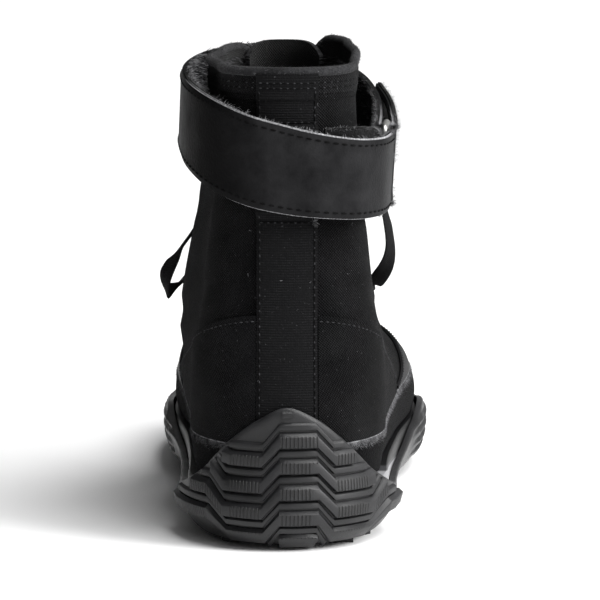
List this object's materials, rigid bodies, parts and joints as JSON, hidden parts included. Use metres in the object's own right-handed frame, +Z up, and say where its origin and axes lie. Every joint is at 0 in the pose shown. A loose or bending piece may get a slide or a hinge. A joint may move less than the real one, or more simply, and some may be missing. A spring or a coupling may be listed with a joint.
{
  "type": "high-top sneaker",
  "caption": "High-top sneaker for the right foot: black canvas shaft, wrap-up rubber sole with zigzag lugs, ankle strap with ring, tape up the back and flat laces.",
  "frame": {"origin": "under the middle of the footprint box, on the floor", "axes": "+Y toe, +X outer side, +Z up"},
  "size_m": [0.1054, 0.2962, 0.1807],
  "materials": {
    "rubber": "matte",
    "grey_rubber": "satin",
    "canvas": "matte",
    "suede": "matte",
    "leather": "satin",
    "webbing": "matte",
    "lace_cord": "matte",
    "footbed": "matte",
    "metal": "satin"
  },
  "bodies": {
    "root": {"outsole": "rubber", "midsole": "grey_rubber", "insole": "footbed", "upper": "canvas", "tongue": "canvas", "rand_band": "suede", "counter_outer": "canvas", "counter_inner": "canvas", "toe_overlay": "leather", "eyestay_outer": "leather", "eyestay_inner": "leather", "back_tape": "webbing", "ankle_strap": "leather", "strap_ring": "metal", "lace_top": "lace_cord", "lace_knot": "lace_cord", "lace_loop_outer": "lace_cord", "lace_loop_inner": "lace_cord", "lace_end_outer": "lace_cord", "lace_end_inner": "lace_cord", "eyelet_outer_1": "metal", "eyelet_inner_1": "metal", "eyelet_outer_2": "metal", "eyelet_inner_2": "metal", "eyelet_outer_3": "metal", "eyelet_inner_3": "metal", "eyelet_outer_4": "metal", "eyelet_inner_4": "metal", "eyelet_outer_5": "metal", "eyelet_inner_5": "metal", "eyelet_outer_6": "metal", "eyelet_inner_6": "metal", "lace_crossing_1": "lace_cord", "lace_crossing_2": "lace_cord", "lace_crossing_3": "lace_cord", "lace_crossing_4": "lace_cord", "lace_crossing_5": "lace_cord"}
  },
  "joints": []
}
